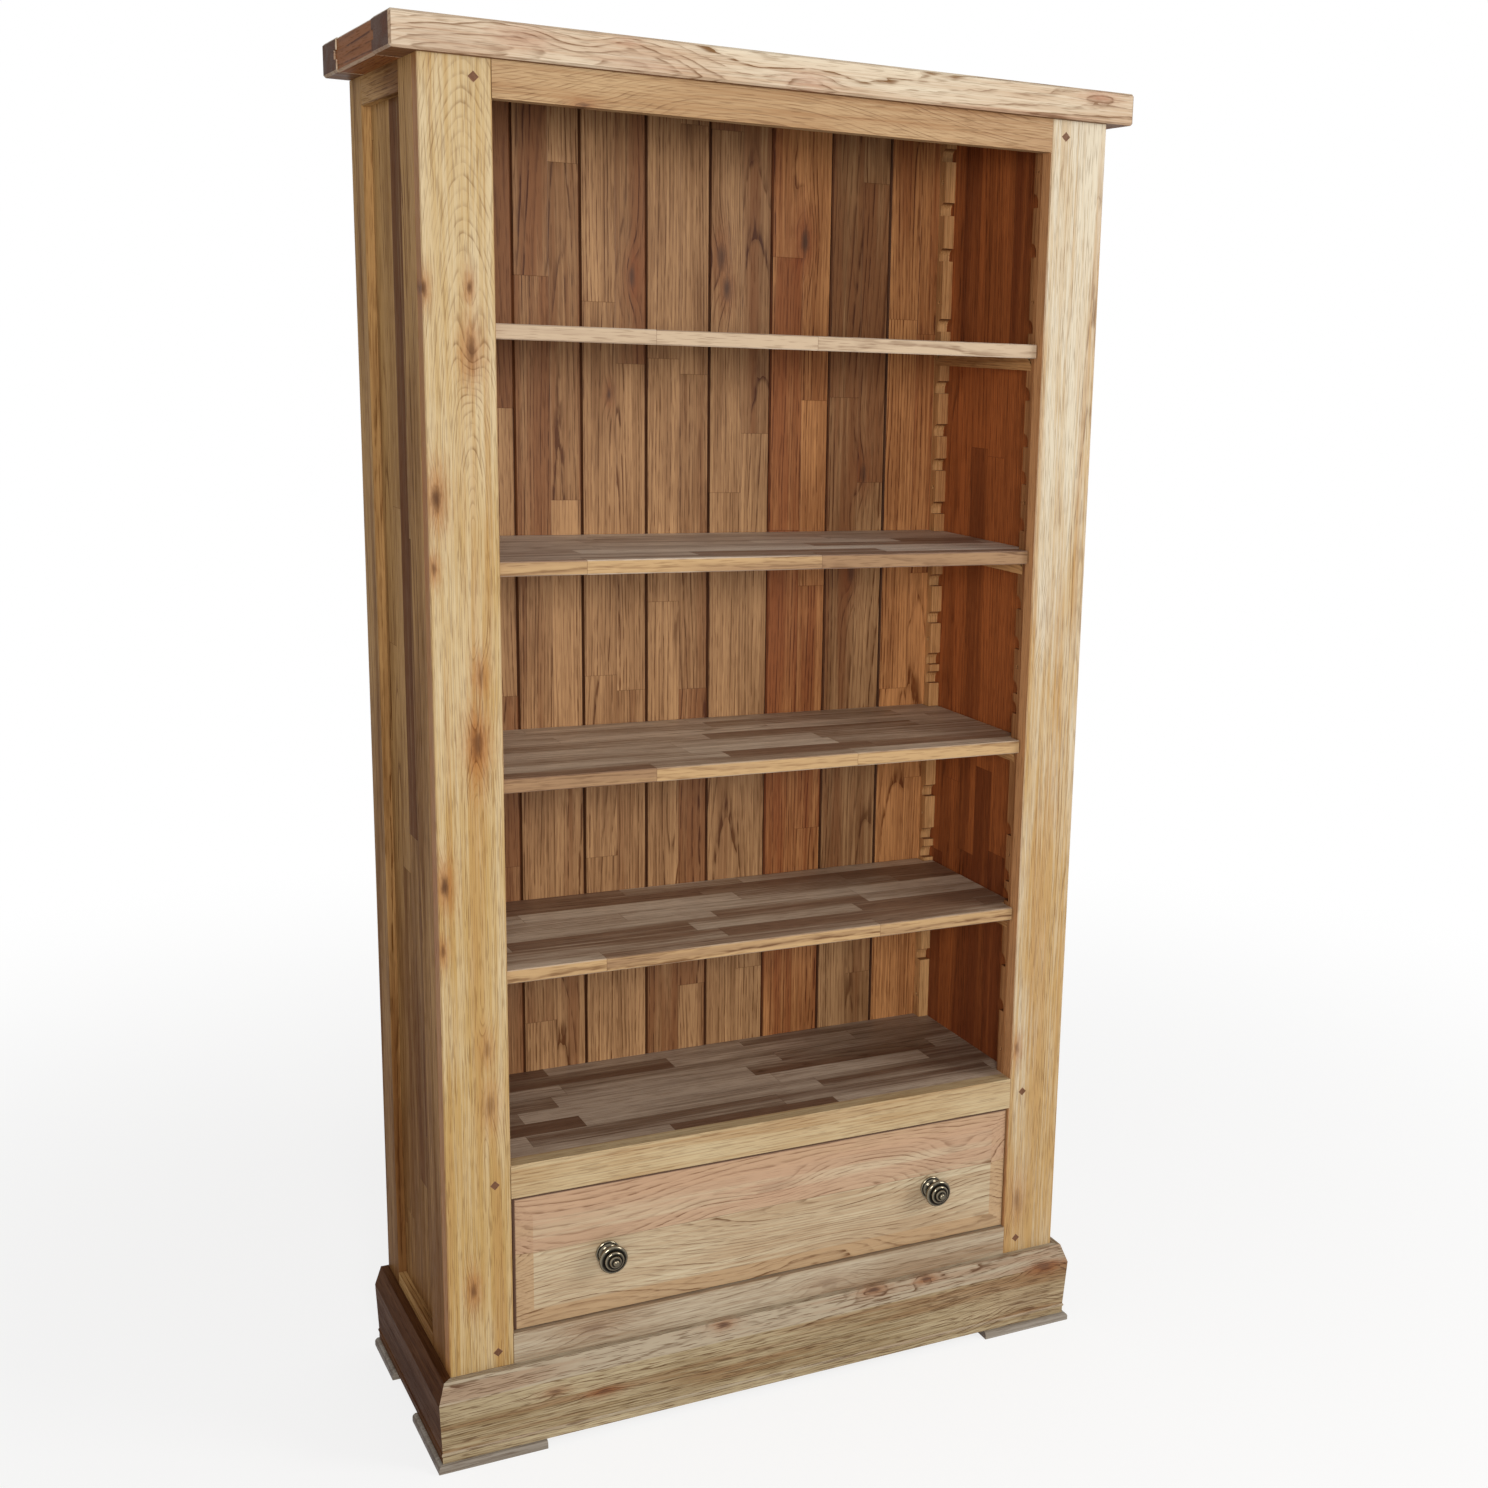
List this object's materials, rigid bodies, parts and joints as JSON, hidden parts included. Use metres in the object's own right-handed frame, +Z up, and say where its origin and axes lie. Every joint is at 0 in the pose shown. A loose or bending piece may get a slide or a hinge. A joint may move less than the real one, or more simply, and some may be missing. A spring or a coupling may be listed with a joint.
{
  "type": "bookcase",
  "caption": "Tall oak bookcase with adjustable shelves resting on notched strips, a framed top, a mitred plinth on moulded feet and a drawer with brass knobs below the deck.",
  "frame": {"origin": "on the floor, below the middle of the bookcase's outer box", "axes": "+X to the right seen from the front, +Y towards the back, +Z up; the front faces -Y"},
  "size_m": [1.072, 0.4226, 1.957],
  "materials": {
    "antique_brass": "antique",
    "back_oak": "waxed",
    "deck_oak": "waxed",
    "drawer_oak": "waxed",
    "foot_oak": "waxed",
    "frame_oak": "waxed",
    "inner_pine": "plain",
    "lining_oak": "waxed",
    "peg_oak": "waxed",
    "plinth_oak": "waxed",
    "screw_steel": "plain",
    "shelf_oak": "waxed",
    "side_oak": "waxed",
    "strip_oak": "waxed",
    "top_oak": "waxed"
  },
  "bodies": {
    "case": {"left_front_stile": "frame_oak", "right_front_stile": "frame_oak", "top_front_rail": "frame_oak", "deck_front_rail": "frame_oak", "bottom_front_rail": "frame_oak", "front_pegs": "peg_oak", "left_side_front_post": "side_oak", "left_side_rear_post": "side_oak", "left_side_top_rail": "side_oak", "left_side_bottom_rail": "side_oak", "left_side_panel": "side_oak", "left_side_lining": "lining_oak", "right_side_front_post": "side_oak", "right_side_rear_post": "side_oak", "right_side_top_rail": "side_oak", "right_side_bottom_rail": "side_oak", "right_side_panel": "side_oak", "right_side_lining": "lining_oak", "back_board_1": "back_oak", "back_board_2": "back_oak", "back_board_3": "back_oak", "back_board_4": "back_oak", "back_board_5": "back_oak", "back_board_6": "back_oak", "back_board_7": "back_oak", "back_board_8": "back_oak", "back_board_9": "back_oak", "back_board_10": "back_oak", "rear_top_rail": "inner_pine", "rear_bottom_rail": "inner_pine", "top_front_board": "top_oak", "top_rear_board": "top_oak", "top_left_end_board": "top_oak", "top_right_end_board": "top_oak", "top_middle_panel": "top_oak", "deck": "deck_oak", "deck_bearers": "inner_pine", "left_front_strip": "strip_oak", "left_rear_strip": "strip_oak", "right_front_strip": "strip_oak", "right_rear_strip": "strip_oak", "strip_screws": "screw_steel", "shelf_rests": "strip_oak", "plinth_front": "plinth_oak", "plinth_left": "plinth_oak", "plinth_right": "plinth_oak", "front_feet": "foot_oak", "rear_feet": "foot_oak", "drawer_runners": "inner_pine"},
    "drawer": {"drawer_front": "drawer_oak", "drawer_left_side": "inner_pine", "drawer_right_side": "inner_pine", "drawer_back": "inner_pine", "drawer_bottom": "inner_pine", "drawer_knobs": "antique_brass", "knob_screws": "screw_steel"},
    "shelf_1": {"shelf_1": "shelf_oak"},
    "shelf_2": {"shelf_2": "shelf_oak"},
    "shelf_3": {"shelf_3": "shelf_oak"},
    "shelf_4": {"shelf_4": "shelf_oak"}
  },
  "joints": [
    {"name": "drawer_slide", "type": "slide", "parent": "case", "child": "drawer", "axis": [0, -1, 0], "range_m": [0, 0.27]},
    {"name": "shelf_1_lift", "type": "slide", "parent": "case", "child": "shelf_1", "axis": [0, 0, 1], "range_m": [0, 0.06]},
    {"name": "shelf_2_lift", "type": "slide", "parent": "case", "child": "shelf_2", "axis": [0, 0, 1], "range_m": [0, 0.06]},
    {"name": "shelf_3_lift", "type": "slide", "parent": "case", "child": "shelf_3", "axis": [0, 0, 1], "range_m": [0, 0.06]},
    {"name": "shelf_4_lift", "type": "slide", "parent": "case", "child": "shelf_4", "axis": [0, 0, 1], "range_m": [0, 0.06]}
  ]
}
